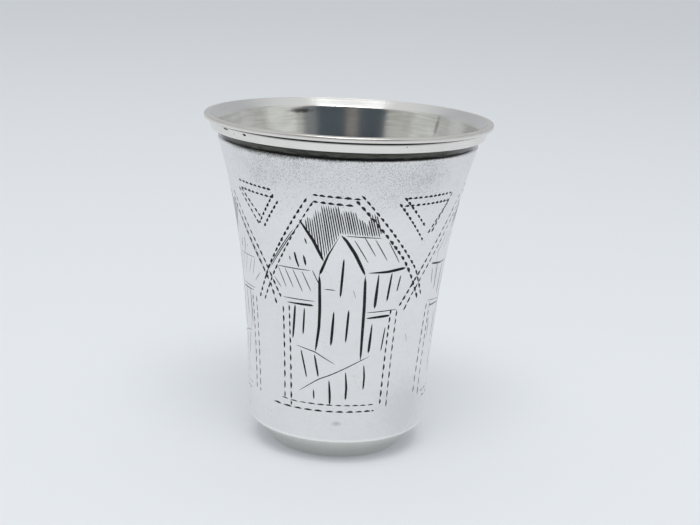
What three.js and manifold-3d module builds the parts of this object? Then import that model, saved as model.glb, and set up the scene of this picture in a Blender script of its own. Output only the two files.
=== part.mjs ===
// A small silver kiddush cup, worked in one piece: a flared wall on a chamfered foot, a fine groove and a
// bevel under a plain turned-out band, and a rounded lip. The wall is engraved all round with four framed
// panels of gabled houses, and with a triangle in each space between the frames.
//
// Millimetres, +Z up. The cup stands on z = 0, round the Z axis, and the middle of one panel faces -Y.
// Places on the wall are pairs: degrees round from that middle, towards +X, and the height.
import * as THREE from "three";
import { mergeVertices } from "three/addons/utils/BufferGeometryUtils.js";
import Module from "manifold-3d";

// Overall size
const HEIGHT = 50.4;
const LIP_RADIUS = 21.5;
const SHEET = 0.7;
const ROUND_SEGMENTS = 64;

// Foot: a flat standing ring round a shallow recess, and a chamfer up to the shoulder
const FOOT_RADIUS = 9.9;
const RING_WIDTH = 1.6;
const RECESS = 0.6;
const RECESS_BEVEL = 0.4;
const FLOOR_SHEET = 0.8;
const SHOULDER_RADIUS = 13.35;
const SHOULDER_HEIGHT = 3.73;
const SHOULDER_ROUND = 0.5;

// Wall: nearly straight above the shoulder, and flaring towards the mouth
const WALL_BOTTOM = 5;
const WALL_SPAN = 42;
const WALL_RADIUS = 13.7;
const WALL_TAPER = 2.0;
const WALL_FLARE = 3.75;
const WALL_STEPS = 5;

// Neck, band and lip: a groove where the wall ends, a bevel up to the band, the band, and a bead
const NECK_HEIGHT = 46.8;
const NECK_DEPTH = 0.2;
const BAND_RADIUS = 20.35;
const BAND_HEIGHT = 48.15;
const CREASE_RADIUS = 20.75;
const CREASE_HEIGHT = 49.55;
const MOUTH_HEIGHT = 49.05;
const LIP_BEAD = 0.33;
const BEAD_FROM = -60;
const BEAD_TO = 140;
const BEAD_STEPS = 4;

// Engraving: cuts with a V section, of the frames' double lines and of the houses' bold strokes
const PANELS = 4;
const CUT_DEPTH = 0.17;
const CUT_LIFT = 0.3;
const FRAME_CUT = 0.26;
const BOLD_CUT = 0.44;
const LINE_GAP = 1.05;
const TURN_PER_STATION = 12;
const RISE_PER_STATION = 8;

// Middles of a frame's double lines. Each slope crosses the next frame's slope on its way down.
const FRAME = {
  top: [[-15, 40.95], [7, 40.95]],
  leftSlope: [[-16.1, 40.9], [-41.2, 29.3], [-51, 24]],
  rightSlope: [[7.5, 41], [40.8, 29.7], [50.5, 24.3]],
  leftPost: [[-31.8, 24.4], [-30.9, 9.4]],
  rightPost: [[30.7, 24.5], [29.5, 9.4]],
  base: [[-37, 9.25], [24.5, 9.25]],
};

// Middles of a triangle's double lines, from the middle of the space between two frames
const TRIANGLE = {
  top: [[-13.5, 40.9], [13.5, 40.9]],
  leftSlope: [[-16.5, 40.8], [0.5, 35.8]],
  rightSlope: [[15, 40.7], [1.5, 35.6]],
};

// Long strokes of the houses: roofs, eaves and walls
const HOUSE_LINES = {
  leftRoof: [[-22.1, 37.8], [-9.6, 31.8]],
  leftSill: [[-31.5, 24.9], [-14.7, 24.9]],
  gableLeft: [[-1.6, 35.9], [-11.9, 29.8], [-11.4, 22.8], [-13.6, 17.8]],
  gableRight: [[-1.4, 35.9], [12.1, 29.9], [12.8, 25.2], [12.8, 16.7]],
  rightEave: [[13.4, 30.3], [34.9, 30.7]],
  rightSill: [[14.4, 23.4], [28.7, 23.6]],
};

// Rows of upright strokes: where each starts, how far down it runs, and its lean in degrees
const HOUSE_ROWS = [
  { name: "left windows", at: [-25.4, -20.4], top: 32.7, length: 2, lean: 2 },
  { name: "left planks", at: [-25.8, -20.2], top: 24.7, length: 4.8, lean: -1.4 },
  { name: "gable post", at: [0.6], top: 32.5, length: 6, lean: -1.1 },
  { name: "middle windows", at: [-3.6, 4.5], top: 24.5, length: 5.2, lean: -1 },
  { name: "wing planks", at: [19.4, 26.9], top: 30.2, length: 4.9, lean: -1 },
  { name: "wing door", at: [18.2], top: 22.6, length: 4.7, lean: -1 },
  { name: "bank strokes", at: [-22.4, -14.1], top: 17.8, length: 4, lean: 3.3 },
  { name: "low strokes", at: [-5, 4.5, 15.1], top: 14.8, length: 3.8, lean: 1.3 },
];

const degrees = THREE.MathUtils.degToRad;
const mix = THREE.MathUtils.lerp;

// The wall's outer radius at a height: a straight taper and a cubic flare.
function wallRadius(z) {
  const u = (z - WALL_BOTTOM) / WALL_SPAN;
  return WALL_RADIUS + WALL_TAPER * u + WALL_FLARE * u ** 3;
}

// Equal steps from one number to another, both included.
function stepped(from, to, steps) {
  return Array.from({ length: steps + 1 }, (_, i) => mix(from, to, i / steps));
}

// Heights up the wall, closer together where the flare bends most.
function wallHeights(from, to) {
  return stepped(0, 1, WALL_STEPS).map((t) => mix(from, to, t ** 0.75));
}

// Outside of the cup as [radius, height], from the middle of the underside up to the crease under the lip.
function outerProfile() {
  const ringInside = FOOT_RADIUS - RING_WIDTH;
  return [
    [0, RECESS],
    [ringInside - RECESS_BEVEL, RECESS],
    [ringInside, 0],
    [FOOT_RADIUS, 0],
    [SHOULDER_RADIUS, SHOULDER_HEIGHT],
    [SHOULDER_RADIUS + SHOULDER_ROUND / 2, SHOULDER_HEIGHT + SHOULDER_ROUND],
    ...wallHeights(WALL_BOTTOM, NECK_HEIGHT).map((z) => [wallRadius(z), z]),
    [wallRadius(NECK_HEIGHT) - NECK_DEPTH, NECK_HEIGHT + NECK_DEPTH],
    [BAND_RADIUS, BAND_HEIGHT],
    [CREASE_RADIUS, CREASE_HEIGHT],
  ];
}

// The lip as a round bead, from its underside over the top.
function lipProfile() {
  const middle = { r: LIP_RADIUS - LIP_BEAD, z: HEIGHT - LIP_BEAD };
  return stepped(BEAD_FROM, BEAD_TO, BEAD_STEPS).map((angle) => [
    middle.r + LIP_BEAD * Math.cos(degrees(angle)),
    middle.z + LIP_BEAD * Math.sin(degrees(angle)),
  ]);
}

// Inside of the cup, from under the lip down to the middle of the floor.
function innerProfile() {
  const floor = RECESS + FLOOR_SHEET;
  const chamferSlope = (SHOULDER_RADIUS - FOOT_RADIUS) / SHOULDER_HEIGHT;
  const bend = [SHOULDER_RADIUS - SHEET, SHOULDER_HEIGHT + SHEET / 2];
  return [
    ...wallHeights(WALL_BOTTOM, MOUTH_HEIGHT)
      .reverse()
      .map((z) => [wallRadius(z) - SHEET, z]),
    bend,
    [bend[0] - chamferSlope * (bend[1] - floor), floor],
    [0, floor],
  ];
}

// A point near the wall, this far out from its surface.
function onWall([angle, z], out) {
  const r = wallRadius(z) + out;
  return new THREE.Vector3(r * Math.sin(degrees(angle)), -r * Math.cos(degrees(angle)), z);
}

// Millimetres round the wall for each degree, at a height.
function arcOf(z) {
  return degrees(1) * wallRadius(z);
}

// The way from one place on the wall to another, as a unit vector on the unrolled wall.
function heading(from, to) {
  const arc = arcOf((from[1] + to[1]) / 2);
  return new THREE.Vector2((to[0] - from[0]) * arc, to[1] - from[1]).normalize();
}

// A path moved sideways by a distance, to its left as it runs.
function besidePath(path, distance) {
  const way = heading(path[0], path.at(-1));
  return path.map(([angle, z]) => [angle - (way.y * distance) / arcOf(z), z + way.x * distance]);
}

// A line drawn twice, LINE_GAP apart.
function doubled(path) {
  return [besidePath(path, LINE_GAP / 2), besidePath(path, -LINE_GAP / 2)];
}

// Places along a path, close enough together to follow the round of the wall.
function stationsAlong(path) {
  const stations = path.slice(1).flatMap((to, i) => {
    const from = path[i];
    const turn = Math.abs(to[0] - from[0]) / TURN_PER_STATION;
    const rise = Math.abs(to[1] - from[1]) / RISE_PER_STATION;
    const fewest = path.length === 2 ? 2 : 1;
    const pieces = Math.max(fewest, Math.round(turn), Math.round(rise));
    return stepped(0, 1, pieces)
      .slice(0, -1)
      .map((t) => [mix(from[0], to[0], t), mix(from[1], to[1], t)]);
  });
  return [...stations, path.at(-1)];
}

// The wedge that a graver takes out of the wall along a path: a V section with pointed ends.
function graverCut(path, width) {
  const stations = stationsAlong(path);
  const last = stations.length - 1;
  const points = [onWall(stations[0], CUT_LIFT / 4)];
  for (let i = 1; i < last; i++) {
    const [angle, z] = stations[i];
    const way = heading(stations[i - 1], stations[i + 1]);
    const half = (width / 2) * (1 + CUT_LIFT / CUT_DEPTH);
    const side = [(way.y * half) / arcOf(z), way.x * half];
    points.push(onWall([angle - side[0], z + side[1]], CUT_LIFT));
    points.push(onWall([angle + side[0], z - side[1]], CUT_LIFT));
    points.push(onWall([angle, z], -CUT_DEPTH));
  }
  points.push(onWall(stations[last], CUT_LIFT / 4));
  return { points, faces: wedgeFaces(last) };
}

// Triangles of a wedge: a point, three corners at each station between, and a point.
function wedgeFaces(last) {
  const corner = (i, k) => 1 + (i - 1) * 3 + (k % 3);
  const end = corner(last, 0);
  const faces = [];
  for (let k = 0; k < 3; k++) {
    faces.push([0, corner(1, k + 1), corner(1, k)]);
    faces.push([end, corner(last - 1, k), corner(last - 1, k + 1)]);
    for (let i = 1; i < last - 1; i++) {
      faces.push([corner(i, k), corner(i, k + 1), corner(i + 1, k + 1)]);
      faces.push([corner(i, k), corner(i + 1, k + 1), corner(i + 1, k)]);
    }
  }
  return faces;
}

// One row of upright strokes as paths.
function rowStrokes({ at, top, length, lean }) {
  return at.map((angle) => [
    [angle, top],
    [angle + lean, top - length],
  ]);
}

// Every cut round the wall. Each second panel shows its houses the other way round.
function engraving() {
  const pitch = 360 / PANELS;
  const frameLines = Object.values(FRAME).flatMap(doubled);
  const triangleLines = Object.values(TRIANGLE).flatMap(doubled);
  const houseStrokes = [...Object.values(HOUSE_LINES), ...HOUSE_ROWS.flatMap(rowStrokes)];
  const placed = (paths, middle, hand, width) =>
    paths.map((path) => graverCut(path.map(([angle, z]) => [middle + hand * angle, z]), width));
  return Array.from({ length: PANELS }, (_, panel) => [
    ...placed(frameLines, panel * pitch, 1, FRAME_CUT),
    ...placed(triangleLines, (panel + 0.5) * pitch, 1, FRAME_CUT),
    ...placed(houseStrokes, panel * pitch, panel % 2 === 0 ? 1 : -1, BOLD_CUT),
  ]).flat();
}

const wasm = await Module();
wasm.setup();

// A solid for cutting, from flat lists of coordinates and of corner numbers.
function solidFrom(coordinates, corners) {
  const mesh = new wasm.Mesh({
    numProp: 3,
    vertProperties: new Float32Array(coordinates),
    triVerts: new Uint32Array(corners),
  });
  return new wasm.Manifold(mesh);
}

// The uncut cup, turned from its closed profile.
function turnedCup() {
  const profile = [...outerProfile(), ...lipProfile(), ...innerProfile()];
  const points = profile.map(([r, z]) => new THREE.Vector2(r, z));
  const lathe = new THREE.LatheGeometry(points, ROUND_SEGMENTS).rotateX(Math.PI / 2);
  lathe.deleteAttribute("normal");
  lathe.deleteAttribute("uv");
  const merged = mergeVertices(lathe, 1e-3);
  return solidFrom(merged.attributes.position.array, merged.index.array);
}

// The cup with its engraving cut, as a geometry.
function engravedCup() {
  const wedges = engraving().map(({ points, faces }) =>
    solidFrom(points.flatMap((point) => point.toArray()), faces.flat()),
  );
  const mesh = wedges.reduce((cup, wedge) => cup.subtract(wedge), turnedCup()).getMesh();
  const geometry = new THREE.BufferGeometry();
  geometry.setAttribute("position", new THREE.BufferAttribute(mesh.vertProperties, 3));
  geometry.setIndex(new THREE.BufferAttribute(mesh.triVerts, 1));
  geometry.computeVertexNormals();
  return geometry;
}

const silver = new THREE.MeshStandardMaterial({
  name: "silver",
  color: new THREE.Color(0.86, 0.86, 0.87),
  metalness: 1,
  roughness: 0.35,
});

const cup = new THREE.Mesh(engravedCup(), silver);
cup.name = "cup";

const part = new THREE.Group();
part.name = "kiddush_cup";
part.add(cup);

export default part;
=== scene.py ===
# %% [markdown]
# A small silver kiddush cup, as a lesson in turning, engraving and finishing one piece of metal.
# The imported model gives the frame: where the cup stands and how large it is. Here the same cup is
# modelled again with a finer surface, because the light on silver shows each bend of it.
# Everything is in metres. Sizes are written in millimetres and multiplied by MM.

# %% Load the frame
import math
import random
from typing import NamedTuple

import bpy
from mathutils import Matrix, Vector


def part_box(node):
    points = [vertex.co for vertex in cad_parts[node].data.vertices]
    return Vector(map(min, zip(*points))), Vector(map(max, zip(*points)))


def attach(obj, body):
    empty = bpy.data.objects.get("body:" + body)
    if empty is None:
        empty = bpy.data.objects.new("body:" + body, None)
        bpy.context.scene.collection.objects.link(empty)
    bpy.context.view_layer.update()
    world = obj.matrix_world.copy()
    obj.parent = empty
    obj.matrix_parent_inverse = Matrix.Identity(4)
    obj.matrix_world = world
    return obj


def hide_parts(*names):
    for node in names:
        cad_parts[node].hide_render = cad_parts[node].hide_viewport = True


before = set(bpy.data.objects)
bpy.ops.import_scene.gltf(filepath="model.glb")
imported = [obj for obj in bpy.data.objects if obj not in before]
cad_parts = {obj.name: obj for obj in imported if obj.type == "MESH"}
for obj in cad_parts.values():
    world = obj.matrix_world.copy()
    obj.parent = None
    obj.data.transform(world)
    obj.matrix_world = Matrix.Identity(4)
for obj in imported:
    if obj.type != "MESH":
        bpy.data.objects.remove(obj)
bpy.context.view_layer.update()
MM = 0.001
_, cup_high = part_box("cup")
HEIGHT = cup_high[2] / MM
LIP_RADIUS = cup_high[0] / MM
print(f"the cup is {HEIGHT:.1f} mm tall and {2 * LIP_RADIUS:.1f} mm across its lip")

# %% [markdown]
# The camera comes first. It stands where the photographer stood: a little above the rim and close
# by, so that the mouth shows as a flat ellipse and the foot as a rounder one. Its place was found by
# matching the ellipses of the rim, the neck and the foot.

# %% Camera
CAMERA_DISTANCE = 189.8
CAMERA_HEIGHT = 76.5
CAMERA_PITCH = math.radians(14.38)
CAMERA_YAW = math.radians(0.34)
CAMERA_ROLL = math.radians(2.68)
CAMERA_LENS = 65.8


def point_camera():
    forward = Vector((math.sin(CAMERA_YAW), math.cos(CAMERA_YAW), -math.tan(CAMERA_PITCH))).normalized()
    level = Vector((math.cos(CAMERA_YAW), -math.sin(CAMERA_YAW), 0))
    upright = level.cross(forward)
    right = math.cos(CAMERA_ROLL) * level + math.sin(CAMERA_ROLL) * upright
    up = math.cos(CAMERA_ROLL) * upright - math.sin(CAMERA_ROLL) * level
    turned = Matrix((right, up, -forward)).transposed().to_4x4()
    return Matrix.Translation(Vector((0, -CAMERA_DISTANCE, CAMERA_HEIGHT)) * MM) @ turned


camera_data = bpy.data.cameras.new("camera")
camera_data.lens = CAMERA_LENS
camera_data.sensor_width = 36
camera_data.clip_start = 0.01
camera = bpy.data.objects.new("camera", camera_data)
bpy.context.scene.collection.objects.link(camera)
camera.matrix_world = point_camera()
bpy.context.scene.camera = camera
bpy.context.scene.view_settings.view_transform = "Standard"
print("the camera looks from", [round(v / MM, 1) for v in camera.location])

# %% [markdown]
# The cup is round, so it is turned. Only its section is drawn, as a chain of points from the middle
# of the underside, up the outside, over the lip and down the inside to the middle of the floor.
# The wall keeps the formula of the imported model, a straight taper and a cubic flare. A point of the
# section is a pair: how far out it lies, and how high.

# %% Sizes of the section, in millimetres
SHEET = 0.7
FOOT_RADIUS = 9.9
RING_WIDTH = 1.6
RECESS = 0.6
FLOOR_SHEET = 0.8
AXIS_GAP = 0.3
FOOT_EDGE = 0.3
SHOULDER = (13.4, 3.76)
WALL_BOTTOM = 5
WALL_SPAN = 42
WALL_RADIUS = 13.7
WALL_TAPER = 2.0
WALL_FLARE = 3.75
WALL_STEPS = 50
WALL_LOWEST = 5.6
NECK_HEIGHT = 46.87
GROOVE = (19.2, 47.1)
BEVEL_PULL = (GROOVE[0] + 0.35, 47.85)
BAND_EDGE = (20.38, 48.2)
BAND_TOP = (20.72, 49.4)
CREASE = (20.42, 49.52)
LIP = (LIP_RADIUS, HEIGHT)
MOUTH = (19.35, 49.15)
INNER_WALL_TOP = 48.7


def wall_radius(z):
    u = (z - WALL_BOTTOM) / WALL_SPAN
    return WALL_RADIUS + WALL_TAPER * u + WALL_FLARE * u**3


def on_wall(z, deeper=0.0):
    return (wall_radius(z) - deeper, z)


print("the wall is", [round(wall_radius(z), 2) for z in (WALL_BOTTOM, 26, NECK_HEIGHT)], "mm from the axis")

# %% [markdown]
# The foot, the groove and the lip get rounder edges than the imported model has. Each is a short curve
# from one point to another, pulled towards the corner between them.

# %% Points and curves
def shifted(point, out, up):
    return (point[0] + out, point[1] + up)


def stepped(start, end, steps):
    return [start + (end - start) * i / steps for i in range(steps + 1)]


def stepped_line(first, last, steps):
    return [tuple(a + (b - a) * t for a, b in zip(first, last)) for t in stepped(0, 1, steps)]


def curve(first, pull, last, steps):
    bent = []
    for t in stepped(0, 1, steps):
        pair = zip(first, pull, last)
        bent.append(tuple((1 - t) ** 2 * a + 2 * t * (1 - t) * b + t * t * c for a, b, c in pair))
    return bent


print("a corner rounded in two steps:", curve((0, 0), (1, 0), (1, 1), 2))

# %% [markdown]
# The outside is drawn from the bottom up. A cup that stands on a ring round a shallow recess doesn't
# rock, as one with a flat bottom might. The photo doesn't show the underside, so the ring and the
# recess follow other such cups. At the neck a groove sets the band off from the wall, and over the
# band the lip swells out again.

# %% Outside of the section
def foot_section():
    """The recess, the standing ring, and the chamfer up to the shoulder."""
    inside = FOOT_RADIUS - RING_WIDTH
    chamfer = math.atan2(SHOULDER[1], SHOULDER[0] - FOOT_RADIUS)
    along = (FOOT_EDGE * math.cos(chamfer), FOOT_EDGE * math.sin(chamfer))
    return [
        (AXIS_GAP, RECESS),
        (inside - 2.5, RECESS),
        *curve((inside - 0.9, RECESS), (inside - 0.3, RECESS), (inside, 0.12), 5),
        *curve((inside, 0.12), (inside + 0.05, 0), (inside + 0.25, 0), 3),
        *curve((FOOT_RADIUS - FOOT_EDGE, 0), (FOOT_RADIUS, 0), (FOOT_RADIUS + along[0], along[1]), 5),
        *[(FOOT_RADIUS + (SHOULDER[0] - FOOT_RADIUS) * t, SHOULDER[1] * t) for t in stepped(0.25, 0.75, 2)],
        *curve(shifted(SHOULDER, -along[0] / 2, -along[1] / 2), SHOULDER, shifted(SHOULDER, 0.04, 0.16), 6),
        *stepped_line(shifted(SHOULDER, 0.09, 0.4), on_wall(WALL_LOWEST), 3),
    ]


def neck_section():
    """A fine groove where the wall ends, and a hollow bevel up to the edge of the band."""
    rim = on_wall(NECK_HEIGHT)
    return [
        *curve(on_wall(NECK_HEIGHT - 0.3), shifted(rim, 0, -0.03), shifted(rim, -0.06, 0.07), 4),
        *stepped_line(shifted(rim, -0.12, 0.15), GROOVE, 2),
        *curve(shifted(GROOVE, 0.05, 0.12), BEVEL_PULL, shifted(BAND_EDGE, -0.12, -0.07), 7),
        *curve(shifted(BAND_EDGE, -0.05, -0.02), BAND_EDGE, shifted(BAND_EDGE, 0.02, 0.06), 3),
    ]


def lip_section():
    """The band, a sharp crease above it, and the lip, rounded outside and nearly flat on top."""
    top = shifted(LIP, -0.13, -0.06)
    return [
        *stepped_line(shifted(BAND_EDGE, 0.06, 0.2), shifted(BAND_TOP, -0.02, -0.06), 5),
        *curve(shifted(BAND_TOP, 0, -0.02), shifted(BAND_TOP, 0, 0.04), shifted(BAND_TOP, -0.08, 0.05), 2),
        CREASE,
        shifted(CREASE, 0.04, 0.12),
        *curve(shifted(LIP, -0.22, -0.74), shifted(LIP, 0, -0.72), shifted(LIP, 0, -0.56), 5),
        *curve(shifted(LIP, 0, -0.34), shifted(LIP, -0.02, -0.1), top, 8),
        *curve(shifted(top, -0.08, 0.02), shifted(LIP, -0.5, 0), shifted(LIP, -0.78, 0), 4),
    ]


outside = [
    *foot_section(),
    *[on_wall(z) for z in stepped(WALL_LOWEST + 0.6, NECK_HEIGHT - 0.7, WALL_STEPS)],
    *neck_section(),
    *lip_section(),
]
print("the outside has", len(outside), "points")

# %% [markdown]
# The inside follows the wall at the thickness of the sheet. Near the mouth it bends outwards, into
# the flare of the lip, and at the bottom it rounds into a flat floor. The chain ends close to the axis.

# %% Inside of the section
INNER_CORNER_HEIGHT = 4.4


def inner_section():
    """From the lip over the bend of the mouth, and down the inside to the floor."""
    floor = RECESS + FLOOR_SHEET
    slope = (SHOULDER[0] - FOOT_RADIUS) / SHOULDER[1]
    bend = shifted(SHOULDER, -SHEET, SHEET / 2)
    corner = (bend[0] + 0.55, INNER_CORNER_HEIGHT)
    foot = bend[0] - slope * (bend[1] - floor)
    return [
        *curve(shifted(LIP, -0.82, -0.02), shifted(LIP, -0.9, -0.1), shifted(LIP, -1.0, -0.2), 3),
        *stepped_line(shifted(LIP, -1.2, -0.38), shifted(MOUTH, 0.4, 0.36), 3),
        *curve(shifted(MOUTH, 0.22, 0.2), MOUTH, on_wall(INNER_WALL_TOP, SHEET + 0.02), 6),
        *[on_wall(z, SHEET) for z in stepped(INNER_WALL_TOP - 0.4, WALL_LOWEST + 0.9, 24)],
        *curve(on_wall(WALL_LOWEST, SHEET), corner, shifted(bend, -0.25, -0.3), 6),
        *curve((foot + 1.0, floor + 1.0 / slope), (foot, floor), (foot - 1.0, floor), 6),
        (foot * 0.55, floor),
        (AXIS_GAP, floor),
    ]


section = outside + inner_section()
print("the section has", len(section), "points")

# %% [markdown]
# To turn the cup, one vertex is extruded from point to point along the section, and the chain is
# spun round the Z axis. That is the whole of a lathe. The two small holes that the spin leaves at
# the axis, under the foot and in the floor, are filled with flat faces, and the normals are
# recalculated, because a spin can turn a surface inside out.

# %% Turn the cup
ROUND_STEPS = 192
WELD = 0.002


def deselect_all():
    bpy.ops.object.select_all(action="DESELECT")


def select_mesh(action="SELECT"):
    bpy.ops.mesh.select_all(action=action)


def turn_section(name, points, steps):
    deselect_all()
    start = Vector((points[0][0], 0, points[0][1])) * MM
    bpy.ops.mesh.primitive_plane_add(size=MM, location=start)
    turned = bpy.context.object
    turned.name = name
    bpy.ops.object.transform_apply(location=True)
    bpy.ops.object.mode_set(mode="EDIT")
    bpy.ops.mesh.merge(type="CENTER")
    for a, b in zip(points, points[1:]):
        step = Vector((b[0] - a[0], 0, b[1] - a[1])) * MM
        bpy.ops.mesh.extrude_vertices_move(TRANSFORM_OT_translate={"value": step})
    select_mesh()
    bpy.ops.mesh.spin(steps=steps, angle=2 * math.pi, center=(0, 0, 0), axis=(0, 0, 1))
    select_mesh()
    bpy.ops.mesh.remove_doubles(threshold=WELD * MM)
    select_mesh("DESELECT")
    bpy.ops.mesh.select_non_manifold()
    bpy.ops.mesh.edge_face_add()
    select_mesh()
    bpy.ops.mesh.normals_make_consistent(inside=False)
    bpy.ops.object.mode_set(mode="OBJECT")
    return turned


cup = turn_section("cup_visual", section, ROUND_STEPS)
print("turned:", len(cup.data.vertices), "vertices,", len(cup.data.polygons), "faces")

# %% [markdown]
# The engraving is cut, not painted: a graver pushes a V-shaped groove into the silver, shallow at
# its ends. The chip that it takes out is modelled as a three-sided bar with its edge down, divided
# along its length, once for short dashes and once, in more pieces, for long strokes. Copies are bent
# onto the wall in code, because a thousand of them follow a surface that curves both ways, and the
# Boolean modifier then takes them out of the cup.

# %% Model the chips that a graver takes out
CHIP_LIFT = 0.6
DASH_PIECES = 4
STROKE_PIECES = 12


def model_chip(name, pieces):
    """A bar from x = 0 to x = 1, with an edge along its underside and a flat top."""
    deselect_all()
    bpy.ops.mesh.primitive_cylinder_add(vertices=3, radius=1, depth=1, location=(0.5, 0, 0))
    chip = bpy.context.object
    chip.name = name
    chip.rotation_euler = (-math.pi / 2, 0, math.pi / 2)
    bpy.ops.object.transform_apply(location=True, rotation=True)
    bpy.ops.object.mode_set(mode="EDIT")
    for place in stepped(0, 1, pieces)[1:-1]:
        select_mesh()
        bpy.ops.mesh.bisect(plane_co=(place, 0, 0), plane_no=(1, 0, 0))
    select_mesh()
    bpy.ops.mesh.normals_make_consistent(inside=False)
    bpy.ops.object.mode_set(mode="OBJECT")
    return chip


dash_chip = model_chip("graver_dash", DASH_PIECES)
stroke_chip = model_chip("graver_stroke", STROKE_PIECES)
print("a dash's chip has", len(dash_chip.data.vertices), "vertices")

# %% [markdown]
# A place on the wall is a pair: degrees round from the front, towards the right, and the height.
# A stroke is a path of such places with its width and depth. It swells from its start to its
# fullest point and thins out again, and a graver leaning over cuts wider on one side, its belly.

# %% Strokes
class Stroke(NamedTuple):
    path: list
    width: float
    depth: float
    taper: float = 0.6
    fullest: float = 0.5
    belly: float = 0.0
    radius_at: object = wall_radius

    def swell(self, t):
        skewed = min(max(t, 0), 1) ** (math.log(0.5) / math.log(self.fullest))
        return max(math.sin(math.pi * skewed), 0) ** self.taper


def arc_of(z):
    """Millimetres round the wall for one degree at this height."""
    return math.radians(1) * wall_radius(z)


def step_length(a, b):
    return math.hypot((b[0] - a[0]) * arc_of((a[1] + b[1]) / 2), b[1] - a[1])


def path_length(path):
    return sum(step_length(a, b) for a, b in zip(path, path[1:]))


def place_at(path, t):
    """The place this share of the way along a path."""
    left = t * path_length(path)
    for a, b in zip(path, path[1:]):
        length = step_length(a, b)
        if left <= length or b is path[-1]:
            share = left / length
            return (a[0] + (b[0] - a[0]) * share, a[1] + (b[1] - a[1]) * share)
        left -= length


def heading_at(path, t):
    """The way a path runs there, as a unit vector on the unrolled wall."""
    before = place_at(path, max(t - 0.03, 0))
    after = place_at(path, min(t + 0.03, 1))
    arc_here = arc_of(before[1])
    return Vector(((after[0] - before[0]) * arc_here, after[1] - before[1])).normalized()


eave = Stroke([(-36.8, 30.25), (-16.1, 30.25)], 0.2, 0.1)
print("an eave", round(path_length(eave.path), 1), "mm long swells to", eave.swell(eave.fullest))

# %% [markdown]
# A chip is bent by moving each corner to its place along the stroke, and from there into the wall, or
# out of it and to one side, as far as the stroke's depth and width say.

# %% How a chip follows a stroke
def on_cup(angle, z, radius):
    turn = math.radians(angle)
    return Vector((radius * math.sin(turn), -radius * math.cos(turn), z)) * MM


def bent_chip(chip, stroke):
    """The chip's corners, carried along the stroke."""
    corners = []
    for corner in chip.data.vertices:
        t = corner.co.x
        angle, z = place_at(stroke.path, t)
        swell = stroke.swell(t)
        if corner.co.z < 0:
            corners.append(on_cup(angle, z, stroke.radius_at(z) - stroke.depth * swell))
            continue
        side = math.copysign(1, corner.co.y)
        half = stroke.width / 2 * (swell + CHIP_LIFT) * (1 + side * stroke.belly)
        way = heading_at(stroke.path, t)
        angle -= side * way.y * half / arc_of(z)
        z += side * way.x * half
        corners.append(on_cup(angle, z, stroke.radius_at(z) + stroke.depth * CHIP_LIFT))
    return corners


print("that eave needs", len(bent_chip(stroke_chip, eave)), "corners")

# %% [markdown]
# Each panel is framed by a double line of short dashes, a traditional border of such cups. The lines
# of the front panel follow the real cup, uneven as a hand made them. A line is given with its path,
# its width, and the distance between its dashes at both ends. A panel is given with its middle in
# degrees, its hand, and paths of its own for the lines of a side panel that are seen from the front.

# %% Lines of the frames
FRAME = {
    "top_outer": ([(-14.9, 41.6), (7, 41.3)], 0.38, (1.02, 1.55)),
    "top_inner": ([(-14.9, 40.6), (5.2, 40.3)], 0.43, (1.02, 1.5)),
    "left_outer": ([(-17.6, 41.1), (-42.3, 29.95), (-53, 24.15)], 0.38, (1.05, 1.1)),
    "left_inner": ([(-14.7, 40.65), (-40.1, 28.6), (-48.7, 23.95)], 0.3, (1.05, 1.2)),
    "right_outer": ([(6.9, 41.95), (41.9, 30.3), (50.5, 25.6)], 0.36, (1.05, 1.2)),
    "right_inner": ([(4.7, 41.1), (33, 31.95), (39.5, 29.2), (47, 25.5)], 0.44, (1.1, 1.25)),
    "left_post_outer": ([(-33.8, 24.2), (-33.2, 9.85)], 0.28, (1.3, 1.7)),
    "left_post_inner": ([(-29.8, 24.5), (-28.6, 8.85)], 0.3, (1.2, 1.6)),
    "right_post_inner": ([(28.7, 24.6), (27, 9.7)], 0.3, (1.1, 1.5)),
    "right_post_outer": ([(32.7, 24.4), (31.6, 9.1)], 0.24, (1.3, 1.6)),
    "base_upper": ([(-35.6, 9.85), (-27, 9.7), (23.3, 9.75)], 0.21, (1.5, 1.15)),
    "base_lower": ([(-42.2, 8.75), (-30, 8.65), (23.7, 8.75)], 0.3, (1.9, 1.2)),
}
LEFT_NEIGHBOUR = {
    "right_outer": [(-69.6, 39.6), (-45.9, 30.55), (-42.9, 29.1), (-35, 25.4)],
    "right_inner": [(-72, 38.6), (-47.5, 29.3), (-41.7, 26.8), (-38.3, 24.1)],
    "right_post_inner": [(-61, 24.3), (-60, 9.5)],
    "right_post_outer": [(-56.6, 24.3), (-55.4, 9.3)],
}
RIGHT_NEIGHBOUR = {
    "left_outer": [(71, 40.6), (46.4, 30.25), (43, 28.9), (33.8, 24.9)],
    "left_inner": [(74, 39.6), (49, 29.5), (40.7, 25.9), (37, 23.95)],
    "left_post_outer": [(57.5, 24.3), (54.6, 10.2)],
    "left_post_inner": [(61.6, 24.3), (60.6, 9.4)],
    "base_upper": [(64, 9.7), (113, 9.75)],
    "base_lower": [(67, 8.7), (113.5, 8.75)],
}
PANELS = {
    "front": (0, 1, {}),
    "right": (90, -1, RIGHT_NEIGHBOUR),
    "back": (180, 1, {}),
    "left": (-90, -1, LEFT_NEIGHBOUR),
}
print(len(PANELS), "panels with", len(FRAME), "lines each")

# %% [markdown]
# Now each line is filled with dashes. No hand keeps them quite even, so their distance and width vary
# a little by chance, and the seed makes chance the same each time. A dash has a large belly, as a
# graver that leans over leaves it.

# %% Dashes of the frames
LINE_DEPTH = 0.13
DASH_SHARE = (0.84, 0.94)
DASH_TAPER = 0.9
DASH_BELLY = 0.4
SIDE_THINNER = 0.68
random.seed(7)


def moved(path, middle, hand=1):
    return [(middle + hand * angle, z) for angle, z in path]


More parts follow.
